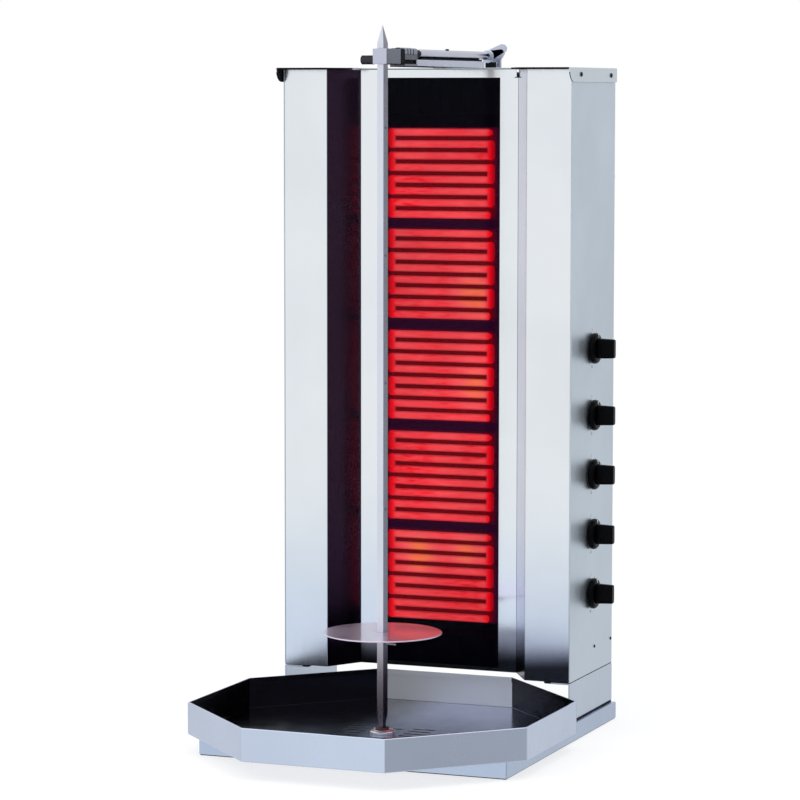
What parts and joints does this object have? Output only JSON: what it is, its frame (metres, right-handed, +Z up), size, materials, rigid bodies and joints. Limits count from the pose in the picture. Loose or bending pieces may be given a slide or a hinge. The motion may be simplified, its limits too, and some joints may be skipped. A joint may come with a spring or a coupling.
{
  "type": "electric doner kebab grill",
  "caption": "Upright electric doner grill: glass-fronted heater on a sliding housing, octagonal drip pan, motor-driven square spit with a meat disc, top bearing arm and side knobs.",
  "frame": {"origin": "on the spit's axis, at the plane that the base rests on", "axes": "+Z up along the spit, +Y to the back of the machine, +X to its right with the knobs"},
  "size_m": [0.574, 0.772, 1.147],
  "materials": {
    "satin_steel": "satin stainless sheet",
    "polished_steel": "polished stainless",
    "machined_steel": "machined stainless",
    "galvanised_steel": "galvanised sheet",
    "ceramic_glass": "black ceramic glass",
    "hot_element": "glowing element",
    "black_plastic": "gloss black plastic",
    "dark_plastic": "matt black plastic",
    "bronze": "bearing bronze",
    "insulation_board": "pressed fibre board",
    "motor_can": "painted can",
    "terminal_ceramic": "porcelain",
    "buffer_rubber": "black rubber"
  },
  "bodies": {
    "base": {"base_tray": "satin_steel", "bottom_plate": "galvanised_steel", "pan": "satin_steel", "grease_tray": "satin_steel", "gearmotor": "motor_can", "bearing_flange": "polished_steel", "glide_strips": "dark_plastic", "guide_bolts": "machined_steel"},
    "drive": {"drive_socket": "bronze", "output_shaft": "machined_steel"},
    "spit": {"spit": "machined_steel", "disc_pin": "machined_steel"},
    "disc": {"disc": "polished_steel"},
    "heater": {"left_cheek": "satin_steel", "right_cheek": "satin_steel", "left_side_panel": "satin_steel", "right_side_panel": "satin_steel", "left_pillar": "satin_steel", "right_pillar": "satin_steel", "glass_frame": "satin_steel", "glass": "ceramic_glass", "element_carrier": "galvanised_steel", "insulation": "insulation_board", "heater_floor": "galvanised_steel", "back_panel": "satin_steel", "cable_gland": "dark_plastic", "terminal_block": "terminal_ceramic", "lid": "satin_steel", "lid_screws": "machined_steel", "cover_screws": "machined_steel", "rear_buffers": "buffer_rubber", "regulators": "dark_plastic", "arm_guide": "satin_steel", "rod_glide": "dark_plastic", "guide_boss": "machined_steel", "element_1": "hot_element", "element_2": "hot_element", "element_3": "hot_element", "element_4": "hot_element", "element_5": "hot_element"},
    "top_arm": {"bearing_block": "machined_steel", "block_bush": "bronze", "arm_spacer": "dark_plastic", "arm_rod": "machined_steel", "stop_screw": "machined_steel"},
    "clamp_screw": {"clamp_screw": "machined_steel"},
    "lock_lever": {"lock_lever": "machined_steel"},
    "knob_1": {"knob_1": "black_plastic", "knob_shaft_1": "machined_steel"},
    "knob_2": {"knob_2": "black_plastic", "knob_shaft_2": "machined_steel"},
    "knob_3": {"knob_3": "black_plastic", "knob_shaft_3": "machined_steel"},
    "knob_4": {"knob_4": "black_plastic", "knob_shaft_4": "machined_steel"},
    "knob_5": {"knob_5": "black_plastic", "knob_shaft_5": "machined_steel"}
  },
  "joints": [
    {"name": "heater_slide", "type": "slide", "parent": "base", "child": "heater", "axis": [0, 1, 0], "range_m": [0, 0.045]},
    {"name": "arm_slide", "type": "slide", "parent": "heater", "child": "top_arm", "axis": [0, 1, 0], "range_m": [-0.045, 0]},
    {"name": "lever_turn", "type": "hinge", "parent": "top_arm", "child": "lock_lever", "pos_m": [0, 0.482, 1.104], "axis": [0, 1, 0], "range_deg": [-90, 0]},
    {"name": "clamp_turn", "type": "hinge", "parent": "top_arm", "child": "clamp_screw", "pos_m": [-0.02, 0, 1.094], "axis": [1, 0, 0], "range_deg": [0, 360]},
    {"name": "drive_spin", "type": "hinge", "parent": "base", "child": "drive", "pos_m": [0, 0, 0.03], "axis": [0, 0, 1], "continuous": true},
    {"name": "spit_lift", "type": "slide", "parent": "drive", "child": "spit", "axis": [0, 0, 1], "range_m": [0, 0.03]},
    {"name": "disc_slide", "type": "slide", "parent": "spit", "child": "disc", "axis": [0, 0, 1], "range_m": [0, 0.86]},
    {"name": "knob_1_turn", "type": "hinge", "parent": "heater", "child": "knob_1", "pos_m": [0.25, 0.2925, 0.629], "axis": [-1, 0, 0], "range_deg": [0, 270]},
    {"name": "knob_2_turn", "type": "hinge", "parent": "heater", "child": "knob_2", "pos_m": [0.25, 0.2925, 0.52], "axis": [-1, 0, 0], "range_deg": [0, 270]},
    {"name": "knob_3_turn", "type": "hinge", "parent": "heater", "child": "knob_3", "pos_m": [0.25, 0.2925, 0.423], "axis": [-1, 0, 0], "range_deg": [0, 270]},
    {"name": "knob_4_turn", "type": "hinge", "parent": "heater", "child": "knob_4", "pos_m": [0.25, 0.2925, 0.325], "axis": [-1, 0, 0], "range_deg": [0, 270]},
    {"name": "knob_5_turn", "type": "hinge", "parent": "heater", "child": "knob_5", "pos_m": [0.25, 0.2925, 0.227], "axis": [-1, 0, 0], "range_deg": [0, 270]}
  ],
  "couplings": [
    {"joint": "arm_slide", "follows": "heater_slide", "ratio": -1}
  ]
}
